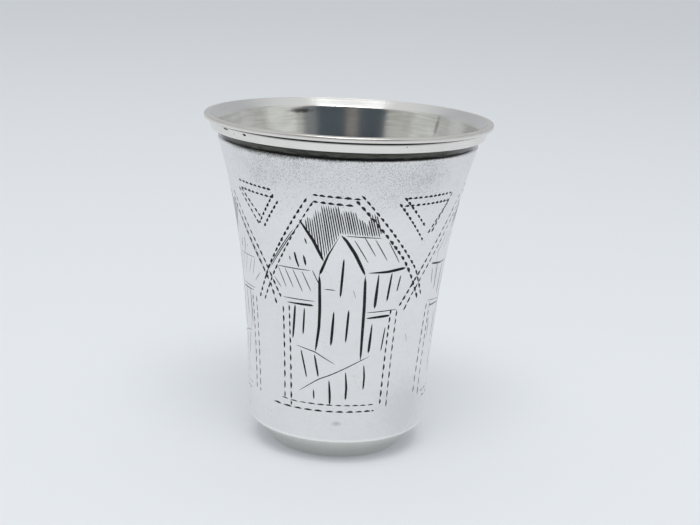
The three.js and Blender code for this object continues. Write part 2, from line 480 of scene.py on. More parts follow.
def dashes(path, width, pitches):
    """Dashes along a line, their spacing changing evenly from one end to the other."""
    length = path_length(path)
    made = []
    start = 0
    while start < length - 0.4:
        pitch = pitches[0] + (pitches[1] - pitches[0]) * start / length
        end = min(start + pitch * random.uniform(*DASH_SHARE), length)
        places = [place_at(path, s / length) for s in stepped(start, end, 2)]
        size = width * random.uniform(0.85, 1.15)
        fullest = random.uniform(0.4, 0.6)
        made.append(Stroke(places, size, LINE_DEPTH, DASH_TAPER, fullest, DASH_BELLY))
        start += pitch * random.uniform(0.94, 1.06)
    return made


frame_dashes = []
for panel, (middle, _, neighbour_lines) in PANELS.items():
    for name, (path, width, pitches) in FRAME.items():
        seen = neighbour_lines.get(name)
        thinner = 1 if seen or panel == "front" else SIDE_THINNER
        frame_dashes += dashes(seen or moved(path, middle), width * thinner, pitches)
print(len(frame_dashes), "dashes in the frames")

# %% [markdown]
# Between two frames, above the crossing of their slopes, hangs a triangle of the same dashes. The two
# triangles in front follow the real cup, and the back has copies of them.

# %% Triangles between the frames
TRIANGLE_LEFT = {
    "top_outer": [(-59, 41.75), (-35.4, 41.45)],
    "top_inner": [(-58.3, 40.65), (-34.9, 40.35)],
    "right_outer": [(-32.5, 40.1), (-43.6, 35.65)],
    "right_inner": [(-34.9, 40.95), (-46.8, 36)],
    "left_outer": [(-60.7, 40.65), (-46.9, 35.85)],
    "left_inner": [(-58.3, 40.65), (-44.3, 36.8)],
}
TRIANGLE_RIGHT = {
    "top_outer": [(28.8, 41.3), (59.3, 41.3)],
    "top_inner": [(27.9, 40.2), (57.5, 40.2)],
    "left_outer": [(25.1, 40.65), (43.3, 34.6)],
    "left_inner": [(27.3, 41.5), (43.7, 36.5)],
    "right_outer": [(59.1, 41.4), (48.2, 35.45)],
    "right_inner": [(57.1, 40.1), (45.7, 35.55)],
}
TRIANGLE_WIDTH = 0.38
TRIANGLE_PITCHES = (0.95, 0.9)
triangle_dashes = []
for path in [*TRIANGLE_LEFT.values(), *TRIANGLE_RIGHT.values()]:
    for middle in (0, 180):
        triangle_dashes += dashes(moved(path, middle), TRIANGLE_WIDTH, TRIANGLE_PITCHES)
print(len(triangle_dashes), "dashes in the triangles")

# %% [markdown]
# The houses inside a frame are freehand: bold swelling strokes for the shaded edges, windows and
# planks, and hairlines for eaves, tiles and paths. A bold stroke is given with its path, its width,
# and how far along it is fullest.

# %% Strokes of the village
BOLD = {
    "left_roof": ([(-22.1, 37.8), (-15, 34.8), (-9.6, 31.8)], 0.44, 0.6),
    "left_attic": ([(-19.5, 35.15), (-18.4, 34.15)], 0.2, 0.45),
    "left_window_1": ([(-28.3, 32.05), (-27.9, 31.4)], 0.16, 0.45),
    "left_window_2": ([(-25.4, 32.8), (-24.5, 31.6), (-23, 30.5)], 0.3, 0.4),
    "left_window_3": ([(-20.4, 32.55), (-19.1, 30.85)], 0.32, 0.5),
    "left_sill": ([(-31.5, 24.9), (-14.7, 24.95)], 0.32, 0.75),
    "left_plank_1": ([(-25.8, 24.8), (-27.6, 19.4)], 0.33, 0.45),
    "left_plank_2": ([(-20.2, 24.5), (-21.1, 20.3)], 0.27, 0.55),
    "gable_left": ([(-1.6, 35.9), (-7.5, 32.8), (-11.9, 29.7)], 0.38, 0.85),
    "gable_right": ([(-1.3, 35.95), (1.5, 35.05), (6, 33.15), (12.1, 29.9)], 0.46, 0.5),
    "wall_left": ([(-11.9, 29.9), (-11.5, 24.5), (-11.8, 21.6), (-13.6, 17.8)], 0.42, 0.4),
    "wall_right": ([(12.1, 29.95), (12.8, 25.2), (12.8, 16.7)], 0.42, 0.4),
    "gable_post": ([(0.6, 32.5), (-0.5, 26.5)], 0.34, 0.55),
    "middle_window_1": ([(-3.6, 24.4), (-4.7, 19)], 0.37, 0.6),
    "middle_window_2": ([(4.5, 24.7), (3.6, 19.6)], 0.31, 0.45),
    "bank_1": ([(-22.4, 18), (-18.5, 13.7)], 0.24, 0.5),
    "bank_2": ([(-14.1, 17.5), (-11.4, 14)], 0.28, 0.55),
    "low_1": ([(-14.2, 12.1), (-13.7, 10.4)], 0.22, 0.6),
    "low_2": ([(-5, 13.7), (-4.2, 11.2), (-4.1, 9.8)], 0.32, 0.65),
    "low_3": ([(4.5, 15.1), (5.4, 12.6), (5.2, 10.6)], 0.3, 0.65),
    "low_4": ([(15.1, 16.2), (15.8, 14.2), (15.6, 12.2)], 0.26, 0.6),
    "wing_eave": ([(13.4, 30.3), (24, 30.35), (35.2, 30.75)], 0.42, 0.75),
    "wing_plank_1": ([(19.4, 30.2), (18.7, 24.8)], 0.42, 0.7),
    "wing_plank_2": ([(26.9, 30.3), (25.6, 25.8)], 0.32, 0.6),
    "wing_plank_3": ([(32.4, 29.7), (31.2, 27.2)], 0.22, 0.5),
    "wing_sill": ([(14.4, 23.35), (28.7, 23.6)], 0.36, 0.65),
    "wing_door_1": ([(18.2, 22.6), (17.2, 17.9)], 0.36, 0.7),
    "wing_door_2": ([(26.4, 21.9), (24.9, 18.1)], 0.2, 0.5),
}
HAIRLINES = {
    "left_roof_back": [(-21, 37.35), (-41.4, 29.6)],
    "left_roof_scribe": [(-24.9, 36.3), (-44, 29)],
    "left_eave": [(-36.8, 30.25), (-16.1, 30.25)],
    "left_tile_1": [(-39.1, 28.5), (-34, 26.85)],
    "left_tile_2": [(-35.9, 30.15), (-31, 27.15)],
    "left_tile_3": [(-31.6, 30.15), (-26.5, 27.25)],
    "left_tile_4": [(-26.9, 30.2), (-21, 26.8)],
    "left_tile_5": [(-21.5, 30.05), (-16.2, 27.05)],
    "left_tile_6": [(-15.7, 30.4), (-11.8, 28.2)],
    "left_ledge": [(-33.8, 25.6), (-13.8, 25.65)],
    "gable_sill": [(-9.4, 27.65), (-2.8, 27.6)],
    "ground": [(-25.6, 18.55), (-13.9, 17.9), (-1.6, 16.15)],
    "path": [(-23.5, 11.45), (-11.3, 13.7), (-4.5, 14.45), (12.5, 16.75), (18.7, 17.5)],
    "wing_tile_1": [(5.1, 35.35), (13.2, 31.8)],
    "wing_tile_2": [(9.5, 36), (16.8, 32.75)],
    "wing_tile_3": [(15.4, 35.45), (23.4, 32)],
    "wing_tile_4": [(22.5, 35.05), (30.5, 31.6)],
    "wing_ridge": [(0.7, 35.85), (19.2, 35.55)],
    "wing_ledge": [(14.1, 24.25), (32.9, 24.45)],
}
print(len(BOLD), "bold strokes and", len(HAIRLINES), "hairlines")

# %% [markdown]
# A bold stroke is a deep, wide cut, and a hairline only scratches the surface. The other panels show
# the same village from other sides, so every second one is turned over and each stroke there is moved
# a little.

# %% Houses on the four panels
BOLD_STEEPNESS = 0.4
BOLD_WIDER = 1.1
BOLD_TAPER = 0.24
BOLD_BELLY = 0.15
HAIR_WIDTH = 0.15
HAIR_DEPTH = 0.06
HAIR_TAPER = 0.35
HIDDEN_WANDER = 0.5


def wandered(path, wander):
    return [(a + random.uniform(-wander, wander), z + random.uniform(-wander, wander) / 2) for a, z in path]


def house_strokes(middle, hand, wander, thinner):
    strokes = []
    for path, width, fullest in BOLD.values():
        placed = moved(wandered(path, wander), middle, hand)
        wide = width * thinner * BOLD_WIDER
        strokes.append(Stroke(placed, wide, wide * BOLD_STEEPNESS, BOLD_TAPER, fullest, BOLD_BELLY))
    for path in HAIRLINES.values():
        placed = moved(wandered(path, wander), middle, hand)
        strokes.append(Stroke(placed, HAIR_WIDTH * thinner, HAIR_DEPTH, HAIR_TAPER))
    return strokes


houses = []
for panel, (middle, hand, _) in PANELS.items():
    wander, thinner = (0, 1) if panel == "front" else (HIDDEN_WANDER, SIDE_THINNER)
    houses += house_strokes(middle, hand, wander, thinner)
print(len(houses), "strokes in the houses")

# %% [markdown]
# The sky behind the roofs is shaded with fine leaning lines, three to a millimetre. They start near
# the frame's top and run down to the roofs, so two outlines say where each line lies.

# %% Sky
SKY_PITCH = 0.335
SKY_LEAN = 0.76
SKY_FAN = 0.022
SKY_MIDDLE = 38
SKY_WIDTH = 0.19
SKY_DEPTH = 0.06
SKY_TAPER = 0.2
SKY_TOP = [
    *[(-18.6, 38.3), (-15.5, 38.5), (-14.7, 37.9), (-14.3, 39.5), (-11.3, 39.6)],
    *[(-10.9, 40.3), (-2.8, 40.3), (-2.2, 39.6), (4.8, 39.7), (5.6, 38.7)],
    *[(9.7, 38.3), (10.5, 37.7), (12.1, 39.4), (15.3, 39.2), (18.4, 36.6)],
]
SKY_FOOT = [(-18.6, 36.4), (-10, 32.1), (-8.6, 32.2), (-1.5, 36), (18.4, 35.6)]


def height_on(outline, angle):
    for a, b in zip(outline, outline[1:]):
        if a[0] <= angle <= b[0]:
            return a[1] + (b[1] - a[1]) * (angle - a[0]) / (b[0] - a[0])
    return SKY_MIDDLE


def sky_line(angle):
    """The part of a leaning line that lies between the roofs and the top of the sky."""
    lean = SKY_LEAN + SKY_FAN * angle
    places = [(angle - lean * (z - SKY_MIDDLE), z) for z in stepped(31, 41, 80)]
    inside = [(a, z) for a, z in places if height_on(SKY_FOOT, a) < z < height_on(SKY_TOP, a)]
    return [inside[-1], inside[0]] if len(inside) > 4 else []


def sky_lines(middle, hand):
    lines = []
    angle = SKY_TOP[0][0]
    while angle < SKY_TOP[-1][0] + 2:
        path = sky_line(angle)
        if path:
            top = (path[0][0], path[0][1] + random.uniform(-0.2, 0.1))
            width = SKY_WIDTH * random.uniform(0.85, 1.15)
            lines.append(Stroke(moved([top, path[1]], middle, hand), width, SKY_DEPTH, SKY_TAPER))
        angle += SKY_PITCH / arc_of(SKY_MIDDLE) * random.uniform(0.95, 1.05)
    return lines


sky = []
for middle, hand, _ in PANELS.values():
    sky += sky_lines(middle, hand)
print(len(sky), "lines in the skies")

# %% [markdown]
# Use has left small marks too: nicks in the polished band and a few scratches on the wall.
# They are cut in the same way. A nick is given with its angle and height, its length in degrees and
# its width in millimetres.

# %% Nicks and scratches
BAND_SLOPE = (BAND_TOP[0] - BAND_EDGE[0]) / (BAND_TOP[1] - BAND_EDGE[1])


def band_radius(z):
    return BAND_EDGE[0] + (z - BAND_EDGE[1]) * BAND_SLOPE


NICKS = [
    (-45.1, 49.12, 2.2, 0.34),
    (-58.5, 49.3, 4.2, 0.24),
    (-51, 48.9, 0.8, 0.12),
    (22.5, 49.1, 0.6, 0.12),
]
SCRATCHES = [
    [(41, 20.5), (43.2, 18.9)],
    [(6.2, 27.8), (8, 26.4)],
    [(60, 33), (63, 27)],
    [(-66, 18), (-62, 25)],
    [(140, 30), (158, 22)],
    [(-128, 12), (-117, 20)],
]
wear = []
for angle, z, long, wide in NICKS:
    path = [(angle, z), (angle + long, z - wide / 3)]
    wear.append(Stroke(path, wide, wide / 2, 0.6, radius_at=band_radius))
for path in SCRATCHES:
    wear.append(Stroke(path, 0.07, 0.025, 0.4))
print(len(wear), "marks of wear")

# %% [markdown]
# The Boolean needs cutters that don't overlap each other, but the lines cross. So the chips are dealt
# into layers, each to the first layer where it meets no other, and the layers are cut in turn.

# %% Deal the chips into layers
CLEARANCE = 0.12


def reach(stroke):
    """The middle and half size of the box that a stroke needs on the unrolled wall."""
    angles = [place[0] for place in stroke.path]
    heights = [place[1] for place in stroke.path]
    margin = stroke.width + CLEARANCE
    arc_here = arc_of(sum(heights) / len(heights))
    middle = ((min(angles) + max(angles)) / 2, (min(heights) + max(heights)) / 2)
    half = ((max(angles) - min(angles)) / 2 + margin / arc_here, (max(heights) - min(heights)) / 2 + margin)
    return middle, half


def meet(a, b):
    (a_middle, a_half), (b_middle, b_half) = a, b
    apart = abs((a_middle[0] - b_middle[0] + 180) % 360 - 180)
    return apart < a_half[0] + b_half[0] and abs(a_middle[1] - b_middle[1]) < a_half[1] + b_half[1]


def dealt(strokes):
    layers = []
    for stroke in strokes:
        box = reach(stroke)
        for layer in layers:
            if not any(meet(box, other) for other, _ in layer):
                layer.append((box, stroke))
                break
        else:
            layers.append([(box, stroke)])
    return [[stroke for _, stroke in layer] for layer in layers]


fine_layers = dealt(sky)
bold_layers = dealt(houses + frame_dashes + triangle_dashes + wear)
print("layers:", [len(layer) for layer in fine_layers + bold_layers])

# %% [markdown]
# The cup and its cutters hold the same list of materials, one for each finish. A face of the turned cup
# gets its finish from where it lies and which way it looks. The materials are only named here, and
# made further down.

# %% Name the finishes and give each its faces
FINISHES = ["silver_satin", "graver_black", "silver_polished", "neck_tarnish_and_shade", "silver_inside"]
finishes = {name: bpy.data.materials.new(name) for name in FINISHES}
LOWEST_INSIDE = 1.0


def finish_of(face):
    """Which finish a face of the turned cup gets, from where it lies and which way it looks."""
    place = face.center / MM
    outward = Vector((place.x, place.y, 0)).normalized()
    inward = face.normal.dot(outward) < -0.05 or (face.normal.z > 0.9 and place.z < WALL_BOTTOM)
    if inward and LOWEST_INSIDE < place.z < HEIGHT - 0.03:
        return "silver_inside"
    if place.z > BAND_EDGE[1] - 0.03:
        return "silver_polished"
    if place.z > GROOVE[1] - 0.04:
        return "neck_tarnish_and_shade"
    return "silver_satin"


for name in FINISHES:
    cup.data.materials.append(finishes[name])
for face in cup.data.polygons:
    face.material_index = FINISHES.index(finish_of(face))
for index, name in enumerate(FINISHES):
    print(name, sum(face.material_index == index for face in cup.data.polygons), "faces")

# %% [markdown]
# Each layer becomes one cutter object, all of it in the black finish. The walls of a groove keep the
# cutter's finish: the black that stays in an engraved line when the silver round it is rubbed bright.

# %% Cut the layers out of the cup
LONG_STROKE = 2.2


def cutter_from(name, strokes):
    corners = []
    faces = []
    for stroke in strokes:
        chip = stroke_chip if path_length(stroke.path) > LONG_STROKE else dash_chip
        first = len(corners)
        corners += bent_chip(chip, stroke)
        faces += [[first + i for i in face.vertices] for face in chip.data.polygons]
    mesh = bpy.data.meshes.new(name)
    mesh.from_pydata(corners, [], faces)
    for finish in FINISHES:
        mesh.materials.append(finishes[finish])
    mesh.polygons.foreach_set("material_index", [FINISHES.index("graver_black")] * len(faces))
    cutter = bpy.data.objects.new(name, mesh)
    bpy.context.scene.collection.objects.link(cutter)
    return cutter


def cut_away(target, cutter):
    deselect_all()
    target.select_set(True)
    bpy.context.view_layer.objects.active = target
    cut = target.modifiers.new("cut", "BOOLEAN")
    cut.operation = "DIFFERENCE"
    cut.solver = "MANIFOLD"
    cut.object = cutter
    bpy.ops.object.modifier_apply(modifier=cut.name)
    bpy.data.objects.remove(cutter)


for number, layer in enumerate(fine_layers + bold_layers):
    before = len(cup.data.polygons)
    cut_away(cup, cutter_from(f"cutter_{number}", layer))
    print("layer", number, "of", len(layer), "chips:", before, "to", len(cup.data.polygons), "faces")
bpy.data.objects.remove(dash_chip)
bpy.data.objects.remove(stroke_chip)

# %% [markdown]
# The edges of a groove stay crisp, and the turned surface smooth: all faces are shaded smooth, and
# an edge is kept sharp where its two faces meet at more than a small angle.

# %% Shade the cup
SHARP_ANGLE = math.radians(20)
deselect_all()
cup.select_set(True)
bpy.context.view_layer.objects.active = cup
bpy.ops.object.shade_smooth_by_angle(angle=SHARP_ANGLE)
print("shaded", len(cup.data.polygons), "faces")

# %% [markdown]
# Silver has almost no colour of its own. What tells one part of the cup from another is how it was
# finished and how it aged: the wall is satin and finely pitted, the band and the lip are polished and
# brushed by wiping, and black sulphide stays where no cloth reaches. Each of these effects serves
# several materials, so each is a node group. The helpers below make nodes and groups and link them.

# %% Helpers for shader nodes
def new_node(tree, kind, **settings):
    node = tree.nodes.new(kind)
    for name, value in settings.items():
        setattr(node, name, value)
    return node


def feed(tree, socket, value):
    """Sets a socket to a plain value, or links another node's output to it."""
    if isinstance(value, bpy.types.NodeSocket):
        tree.links.new(value, socket)
    else:
        socket.default_value = value


def fill(tree, node, settings):
    """Sets or links a node's inputs by their names."""
    for name, value in settings.items():
        feed(tree, node.inputs[name], value)


def new_group(name, inputs, outputs):
    """An empty node group with named inputs, given with their usual values, and named outputs."""
    tree = bpy.data.node_groups.new(name, "ShaderNodeTree")
    for label, value in inputs.items():
        socket = tree.interface.new_socket(label, in_out="INPUT", socket_type="NodeSocketFloat")
        socket.default_value = value
    for label, kind in outputs.items():
        tree.interface.new_socket(label, in_out="OUTPUT", socket_type=kind)
    return tree, tree.nodes.new("NodeGroupInput"), tree.nodes.new("NodeGroupOutput")


def place_group(tree, group, **inputs):
    node = new_node(tree, "ShaderNodeGroup", node_tree=group)
    fill(tree, node, inputs)
    return node.outputs


print("nodes are placed by", [helper.__name__ for helper in (new_node, new_group, place_group)])

# %% [markdown]
# Small nodes that add, multiply and mix work out what a surface shows. Each helper below places one
# such node and gives back its output, so a finish can be read like a sum.

# %% Helpers that calculate
def calculate(tree, operation, *values, kind="ShaderNodeMath"):
    node = new_node(tree, kind, operation=operation)
    for socket, value in zip(node.inputs, values):
        feed(tree, socket, value)
    return node.outputs[0]


def times(tree, *values):
    return calculate(tree, "MULTIPLY", *values)


def plus(tree, *values):
    return calculate(tree, "ADD", *values)


def minus(tree, value, less):
    return calculate(tree, "SUBTRACT", value, less)


def scaled(tree, value, factor, offset):
    return calculate(tree, "MULTIPLY_ADD", value, factor, offset)


def vector_of(tree, operation, *values):
    return calculate(tree, operation, *values, kind="ShaderNodeVectorMath")


def ramp(tree, value, low, high, to_low=0.0, to_high=1.0):
    """A soft step from to_low to to_high as a value goes from low to high."""
    node = new_node(tree, "ShaderNodeMapRange", interpolation_type="SMOOTHSTEP")
    fill(tree, node, {"Value": value, "From Min": low, "From Max": high})
    fill(tree, node, {"To Min": to_low, "To Max": to_high})
    return node.outputs["Result"]


def mixed(tree, share, first, second):
    node = new_node(tree, "ShaderNodeMix", data_type="RGBA")
    fill(tree, node, {"Factor": share, "A": first, "B": second})
    return node.outputs["Result"]


def noise(tree, vector, scale, detail=2.0, roughness=0.5):
    node = new_node(tree, "ShaderNodeTexNoise")
    fill(tree, node, {"Vector": vector, "Scale": scale, "Detail": detail, "Roughness": roughness})
    return node.outputs["Fac"]


print("a helper can calculate:", [rule.__name__ for rule in (times, plus, minus, scaled)])

# %% [markdown]
# The first group says where a point lies on the cup, in the same terms as the strokes: its angle in
# degrees round from the front, and its height in millimetres. Aside is the angle without its sign, so
# it grows on both sides of the front. The direction from the axis is for noise that has to close up
# behind the cup with no seam.

# %% Group: place on the cup
FLOAT = "NodeSocketFloat"
VECTOR = "NodeSocketVector"
PLACE_OUTPUTS = {"Place": VECTOR, "Direction": VECTOR, "Height": FLOAT, "Angle": FLOAT, "Aside": FLOAT}


def place_on_cup_group():
    tree, _, given = new_group("place_on_cup", {}, PLACE_OUTPUTS)
    local = new_node(tree, "ShaderNodeTexCoord").outputs["Object"]
    place = vector_of(tree, "MULTIPLY", local, (1 / MM, 1 / MM, 1 / MM))
    split = new_node(tree, "ShaderNodeSeparateXYZ")
    feed(tree, split.inputs[0], place)
    x, y, z = split.outputs
    direction = vector_of(tree, "NORMALIZE", vector_of(tree, "MULTIPLY", place, (1, 1, 0)))
    angle = calculate(tree, "DEGREES", calculate(tree, "ARCTAN2", x, times(tree, y, -1.0)))
    aside = calculate(tree, "ABSOLUTE", angle)
    fill(tree, given, dict(zip(PLACE_OUTPUTS, (place, direction, z, angle, aside))))
    return tree


place_on_cup = place_on_cup_group()
print("place_on_cup gives", list(PLACE_OUTPUTS))

# %% [markdown]
# Wiping and turning leave streaks round the cup. Round is how often a streak breaks on its way
# round, and Fine is how many there are to a millimetre of height.

# %% Group: brushed streaks
def brushed_group():
    tree, wanted, given = new_group("brushed_streaks", {"Round": 3.0, "Fine": 6.0}, {"Streaks": FLOAT})
    where = place_group(tree, place_on_cup)
    along = vector_of(tree, "MULTIPLY", where["Direction"], wanted.outputs["Round"])
    upward = new_node(tree, "ShaderNodeCombineXYZ")
    feed(tree, upward.inputs["Z"], times(tree, where["Height"], wanted.outputs["Fine"]))
    at = vector_of(tree, "ADD", along, upward.outputs["Vector"])
    feed(tree, given.inputs["Streaks"], noise(tree, at, 1.0, 3.0, 0.6))
    return tree


brushed = brushed_group()
print("brushed_streaks has", len(brushed.nodes), "nodes")

# %% [markdown]
# Old silver is pitted. Small pits show where a fine noise rises over a limit, and they gather where
# a broad noise is high. Size is the size of a pit in millimetres, and Share is how much they cover.

# %% Group: pits
def pits_group():
    tree, wanted, given = new_group("pits", {"Size": 0.2, "Share": 0.3}, {"Pits": FLOAT})
    where = place_group(tree, place_on_cup)
    fine = noise(tree, where["Place"], calculate(tree, "DIVIDE", 1.0, wanted.outputs["Size"]), 1.0)
    broad = noise(tree, where["Place"], 0.22, 3.0)
    gathered = scaled(tree, broad, 0.35, -0.17)
    level = minus(tree, 0.8, times(tree, wanted.outputs["Share"], 0.5))
    over = minus(tree, plus(tree, fine, gathered), level)
    feed(tree, given.inputs["Pits"], ramp(tree, over, -0.04, 0.08))
    return tree


pits = pits_group()
print("pits has", len(pits.nodes), "nodes")

# %% [markdown]
# A few dark patches have a place of their own: real stains, and on the satin wall one painted
# reflection. Each is a soft patch round an angle and a height, with a ragged edge. Wide is its half
# width in degrees and Tall its half height in millimetres.

# %% Group: dark patch
PATCH_INPUTS = {"Angle": 0.0, "Height": 0.0, "Wide": 5.0, "Tall": 1.0}


def dark_patch_group():
    tree, wanted, given = new_group("dark_patch", PATCH_INPUTS, {"Patch": FLOAT})
    where = place_group(tree, place_on_cup)
    offsets = []
    for name, size in (("Angle", "Wide"), ("Height", "Tall")):
        away = minus(tree, where[name], wanted.outputs[name])
        offsets.append(calculate(tree, "POWER", calculate(tree, "DIVIDE", away, wanted.outputs[size]), 2.0))
    apart = calculate(tree, "SQRT", plus(tree, *offsets))
    ragged = scaled(tree, noise(tree, where["Place"], 1.6, 3.0), 0.9, -0.45)
    feed(tree, given.inputs["Patch"], ramp(tree, plus(tree, apart, ragged), 1.3, 0.2))
    return tree


dark_patch = dark_patch_group()
print("stain takes", list(PATCH_INPUTS))

# %% [markdown]
# Every material starts with its own Principled shader and the place on the cup, and ends by linking a
# colour, a roughness and a bump. A colour gets each dark patch of a list, real stains and painted
# reflection alike, given with its place and its strength.

# %% What the materials share
PATCH_AND_SHADE_BLACK = (0.1, 0.1, 0.1, 1)


def shader_of(name, metallic):
    material = finishes[name]
    material.use_nodes = True
    tree = material.node_tree
    shader = tree.nodes["Principled BSDF"]
    shader.inputs["Metallic"].default_value = metallic
    return tree, shader, place_group(tree, place_on_cup)


def dress(tree, shader, colour, roughness, relief, depth, strength=1.0):
    """Links what a surface shows. The relief is so many millimetres deep."""
    bump = new_node(tree, "ShaderNodeBump")
    fill(tree, bump, {"Height": relief, "Distance": depth * MM, "Strength": strength})
    fill(tree, shader, {"Base Color": colour, "Roughness": roughness, "Normal": bump.outputs["Normal"]})


def with_dark_patches(tree, colour, patches):
    for place, strength in patches:
        mark = place_group(tree, dark_patch, **place)["Patch"]
        colour = mixed(tree, times(tree, mark, strength), colour, PATCH_AND_SHADE_BLACK)
    return colour


print("finishes to make:", FINISHES)

# %% [markdown]
# Just under the groove the wall is dark, more on the left than on the right: partly tarnish, and
# partly painted shade under the overhanging band. The haze crumbles away downwards, with an edge that a
# noise round the cup breaks.

# %% Haze and painted shade under the groove
HAZE_ASIDE = (64, 44)
HAZE_LEFTWARD = (30, -35)


def haze_and_shade_under_groove(tree, where, grain):
    """How dark the wall is under the groove, 0 to 1: partly tarnish, partly painted shade."""
    reach_down = scaled(tree, ramp(tree, where["Angle"], *HAZE_LEFTWARD), 0.42, 0.13)
    broken = noise(tree, where["Direction"], 6.0, 6.0, 0.75)
    reach_down = times(tree, reach_down, scaled(tree, broken, 2.2, -0.1))
    below = minus(tree, NECK_HEIGHT + 0.1, where["Height"])
    depth = calculate(tree, "DIVIDE", below, reach_down)
    crumbled = scaled(tree, grain, 2.4, -1.2)
    hazed = ramp(tree, plus(tree, depth, crumbled), 1.25, -0.1)
    return times(tree, hazed, ramp(tree, where["Aside"], *HAZE_ASIDE))


print("the haze is full up to", HAZE_ASIDE[1], "degrees on both sides of the front")

# %% [markdown]
# The satin wall is a soft mirror. It is whitish and slightly rough, with a fine grain that spreads
# the highlight, and with darker pits that thicken below the neck. A painted highlight runs along the
# edge above the foot, and the chamfer below it is smoother than the wall and painted darker, as painted
# shade of the shaded floor that it mirrors. A broad painted reflection darkens the wall low on the right.

# %% Satin silver
SATIN_LIGHT = (0.925, 0.92, 0.915, 1)
SATIN_DARK = (0.47, 0.47, 0.475, 1)
# A painted highlight along the edge above the foot.
SATIN_PAINTED_HIGHLIGHT = (0.97, 0.96, 0.94, 1)
SATIN_ROUGHNESS = 0.34
# Painted shade: the chamfer is darker, for the shaded floor by the foot that it mirrors.
CHAMFER_PAINTED_SHADE = (0.765, 0.755, 0.72, 1)
CHAMFER_ROUGHNESS = 0.12
PITTED_HEIGHTS = (36, 45)
PITTED_ASIDE = (66, 38)
EDGE_HIGHLIGHT_HEIGHTS = (SHOULDER[1] + 0.6, SHOULDER[1] + 0.3)
CHAMFER_HEIGHTS = (SHOULDER[1] + 0.15, SHOULDER[1] - 0.05)
SATIN_STAINS_AND_PAINTED_REFLECTION = [
    ({"Angle": 0.5, "Height": 6.9, "Wide": 3.2, "Tall": 0.4}, 0.3),
    # A painted reflection: a broad darker patch low on the right of the wall.
    ({"Angle": 46.0, "Height": 8.0, "Wide": 26.0, "Tall": 6.0}, 0.14),
]


def make_satin():
    tree, shader, where = shader_of("silver_satin", 1.0)
    facing = ramp(tree, where["Aside"], *PITTED_ASIDE, 0.35, 1.0)
    near_neck = times(tree, ramp(tree, where["Height"], *PITTED_HEIGHTS), facing)
    dots = place_group(tree, pits, Size=0.17, Share=scaled(tree, near_neck, 0.34, 0.16))["Pits"]
    streaks = place_group(tree, brushed, Round=14.0, Fine=1.2)["Streaks"]
    cloud = noise(tree, where["Place"], 0.16, 4.0, 0.6)
    grain = noise(tree, where["Place"], 5.0, 2.0)
    worn = plus(tree, times(tree, cloud, 0.25), times(tree, streaks, 0.2))
    worn = plus(tree, worn, times(tree, near_neck, 0.27))
    colour = mixed(tree, times(tree, worn, 0.6), SATIN_LIGHT, SATIN_DARK)
    speckled = times(tree, dots, scaled(tree, near_neck, 0.12, 0.6))
    colour = mixed(tree, speckled, colour, SATIN_DARK)
    # A painted highlight: the wall is lighter along the edge just above the chamfer.
    edge_highlight = ramp(tree, where["Height"], *EDGE_HIGHLIGHT_HEIGHTS)
    colour = mixed(tree, times(tree, edge_highlight, 0.8), colour, SATIN_PAINTED_HIGHLIGHT)
    # Under the groove the wall darkens: partly tarnish, partly painted shade under the overhanging band.
    haze_and_shade = haze_and_shade_under_groove(tree, where, grain)
    colour = mixed(tree, times(tree, haze_and_shade, 0.9), with_dark_patches(tree, colour, SATIN_STAINS_AND_PAINTED_REFLECTION), PATCH_AND_SHADE_BLACK)
    # The chamfer gets a darker colour, painted shade of the shaded floor it mirrors, and less roughness.
    chamfer = ramp(tree, where["Height"], *CHAMFER_HEIGHTS)
    colour = mixed(tree, chamfer, colour, CHAMFER_PAINTED_SHADE)
    wiped = times(tree, chamfer, CHAMFER_ROUGHNESS - SATIN_ROUGHNESS)
    roughness = plus(tree, scaled(tree, grain, 0.16, SATIN_ROUGHNESS), wiped)
    relief = minus(tree, times(tree, grain, 0.5), dots)
    dress(tree, shader, colour, roughness, relief, 0.008, scaled(tree, chamfer, -0.8, 1.0))


make_satin()
print("satin:", len(finishes["silver_satin"].node_tree.nodes), "nodes")

# %% [markdown]
# The band and the lip are polished, the band worn softer than the lip above it, and the crease between
# them is painted black in front, as painted shade and dark reflection under the lip. Fine streaks run
# round both.

# %% Polished band and lip
POLISHED = (0.85, 0.82, 0.785, 1)
POLISHED_DULL = (0.78, 0.75, 0.72, 1)
CREASE_PAINTED_SHADE = (0.05, 0.05, 0.052, 1)
BAND_ROUGHNESS = 0.32
LIP_ROUGHNESS = 0.25
CREASE_SHADE_FROM = (CREASE[1] - 0.36, CREASE[1] - 0.08)
CREASE_SHADE_UP_TO = (CREASE[1] + 0.25, CREASE[1] + 0.15)
CREASE_SHADE_ASIDE = (52, 20)
LIP_FROM = (CREASE[1] - 0.1, CREASE[1] + 0.1)


def polished_colour(tree, where, streaks, light, dull):
    spots = place_group(tree, pits, Size=0.3, Share=0.12)["Pits"]
    cloud = noise(tree, where["Place"], 0.2, 3.0)
    dullness = ramp(tree, plus(tree, streaks, cloud), 0.8, 1.4)
    colour = mixed(tree, dullness, light, dull)
    return mixed(tree, times(tree, spots, 0.6), colour, dull)


def make_polished():
    tree, shader, where = shader_of("silver_polished", 1.0)
    streaks = place_group(tree, brushed, Round=5.0, Fine=7.0)["Streaks"]
    # The crease under the lip is painted black in front: painted shade and dark reflection.
    above = ramp(tree, where["Height"], *CREASE_SHADE_FROM)
    below = ramp(tree, where["Height"], *CREASE_SHADE_UP_TO)
    front = ramp(tree, where["Aside"], *CREASE_SHADE_ASIDE, 0.0, 0.85)
    black = times(tree, times(tree, above, below), front)
    colour = polished_colour(tree, where, streaks, POLISHED, POLISHED_DULL)
    colour = mixed(tree, black, colour, CREASE_PAINTED_SHADE)
    smooth = ramp(tree, where["Height"], *LIP_FROM, BAND_ROUGHNESS, LIP_ROUGHNESS)
    dress(tree, shader, colour, scaled(tree, streaks, 0.1, smooth), streaks, 0.003)


make_polished()
print("roughness of band and lip:", BAND_ROUGHNESS, LIP_ROUGHNESS)

